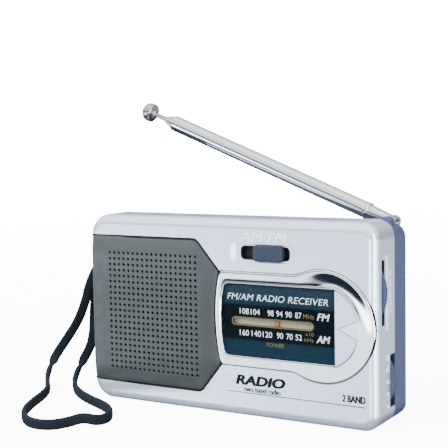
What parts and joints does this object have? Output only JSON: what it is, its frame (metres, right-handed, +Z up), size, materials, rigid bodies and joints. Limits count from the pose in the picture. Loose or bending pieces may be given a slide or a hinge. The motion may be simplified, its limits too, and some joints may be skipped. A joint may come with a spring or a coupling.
{
  "type": "pocket radio receiver",
  "caption": "Pocket two-band radio with a perforated speaker grille, a dial window, edge wheels, a sliding band switch, a folding telescopic antenna and a wrist strap.",
  "frame": {"origin": "middle of the flat base that the radio stands on", "axes": "+X to the right as the dial is read, +Y from the front to the back, +Z up"},
  "size_m": [0.1517, 0.0788, 0.1154],
  "materials": {
    "silver_plastic": "satin metallic paint",
    "slate_plastic": "fine moulded texture",
    "dark_slate_plastic": "satin",
    "grille_paint": "satin gunmetal",
    "black_cloth": "matte",
    "chrome": "mirror",
    "clear_plastic": "clear",
    "dial_print": "printed",
    "cream_plastic": "satin",
    "red_lens": "clear red",
    "board": "resin board",
    "steel": "tinned",
    "spring_steel": "nickel plated",
    "ferrite": "matte",
    "paper": "pressed pulp",
    "phenolic": "satin",
    "white_plastic": "satin",
    "black_plastic": "satin",
    "copper": "enamelled",
    "orange_plastic": "satin",
    "tan_ceramic": "satin",
    "cell_jacket": "printed jacket",
    "cord": "waxed",
    "lead_wire": "vinyl",
    "webbing": "woven",
    "brass": "turned",
    "pointer_plastic": "satin",
    "antenna_chrome": "polished"
  },
  "bodies": {
    "case": {"front_shell": "silver_plastic", "bezel_trim": "silver_plastic", "back_cover": "slate_plastic", "strap_lug": "slate_plastic", "speaker_grille": "grille_paint", "grille_scrim": "black_cloth", "dial_bezel": "chrome", "dial_lens": "clear_plastic", "dial_plate": "dial_print", "scale_backing": "cream_plastic", "power_lamp": "red_lens", "circuit_board": "board", "speaker_basket": "steel", "pointer_rail": "steel", "idler_pin": "steel", "band_switch_body": "steel", "if_transformers": "steel", "antenna_washer": "steel", "speaker_magnet": "ferrite", "ferrite_rod": "ferrite", "speaker_cone": "paper", "speaker_terminals": "phenolic", "tuning_capacitor": "white_plastic", "volume_control": "black_plastic", "radio_chip": "black_plastic", "earphone_jack": "black_plastic", "electrolytic_capacitors": "black_plastic", "aerial_coil": "copper", "ceramic_filters": "orange_plastic", "resistors": "tan_ceramic", "battery_cells": "cell_jacket", "battery_contacts_left": "spring_steel", "battery_contacts_right": "spring_steel", "case_screws": "spring_steel", "board_screws": "spring_steel", "antenna_screw": "spring_steel", "dial_cord": "cord", "speaker_leads": "lead_wire", "wrist_strap": "webbing"},
    "tuning": {"tuning_wheel": "slate_plastic", "cord_drum": "white_plastic", "tuning_spindle": "brass", "tuning_screw": "spring_steel"},
    "idler": {"idler_pulley": "white_plastic"},
    "pointer": {"dial_pointer": "pointer_plastic"},
    "volume": {"volume_wheel": "slate_plastic", "volume_screw": "spring_steel"},
    "band_switch": {"band_switch_knob": "dark_slate_plastic"},
    "antenna_mast": {"antenna_base": "antenna_chrome", "antenna_section_1": "antenna_chrome"},
    "antenna_second": {"antenna_section_2": "antenna_chrome"},
    "antenna_third": {"antenna_section_3": "antenna_chrome"},
    "antenna_fourth": {"antenna_section_4": "antenna_chrome"},
    "antenna_top": {"antenna_rod": "antenna_chrome", "antenna_tip": "antenna_chrome"},
    "battery_lid": {"battery_door": "slate_plastic"}
  },
  "joints": [
    {"name": "tuning_turn", "type": "hinge", "parent": "case", "child": "tuning", "pos_m": [0.046, -0.0093, 0.0477], "axis": [0, 1, 0], "range_deg": [-72, 108]},
    {"name": "pointer_slide", "type": "slide", "parent": "case", "child": "pointer", "axis": [1, 0, 0], "range_m": [-0.0165, 0.011]},
    {"name": "idler_turn", "type": "hinge", "parent": "case", "child": "idler", "pos_m": [-0.0006, -0.0069, 0.04185], "axis": [0, 1, 0], "range_deg": [-218, 327]},
    {"name": "volume_turn", "type": "hinge", "parent": "case", "child": "volume", "pos_m": [0.0498, -0.0016, 0.0161], "axis": [0, 1, 0], "range_deg": [0, 300]},
    {"name": "band_slide", "type": "slide", "parent": "case", "child": "band_switch", "axis": [1, 0, 0], "range_m": [-0.004, 0]},
    {"name": "antenna_fold", "type": "hinge", "parent": "case", "child": "antenna_mast", "pos_m": [0.056, 0.0085, 0.0705], "axis": [0, 1, 0], "range_deg": [-21.8, 70]},
    {"name": "antenna_pull_1", "type": "slide", "parent": "antenna_mast", "child": "antenna_second", "axis": [-0.9285, 0, 0.3714], "range_m": [0, 0.07]},
    {"name": "antenna_pull_2", "type": "slide", "parent": "antenna_second", "child": "antenna_third", "axis": [-0.9285, 0, 0.3714], "range_m": [0, 0.07]},
    {"name": "antenna_pull_3", "type": "slide", "parent": "antenna_third", "child": "antenna_fourth", "axis": [-0.9285, 0, 0.3714], "range_m": [0, 0.07]},
    {"name": "antenna_pull_4", "type": "slide", "parent": "antenna_fourth", "child": "antenna_top", "axis": [-0.9285, 0, 0.3714], "range_m": [0, 0.07]},
    {"name": "battery_lid_swing", "type": "hinge", "parent": "case", "child": "battery_lid", "pos_m": [0.0096, 0.01135, 0.00345], "axis": [-1, 0, 0], "range_deg": [0, 85]}
  ],
  "couplings": [
    {"joint": "pointer_slide", "follows": "tuning_turn", "m_per_rad": -0.00875},
    {"joint": "idler_turn", "follows": "tuning_turn", "ratio": 3.0172}
  ]
}
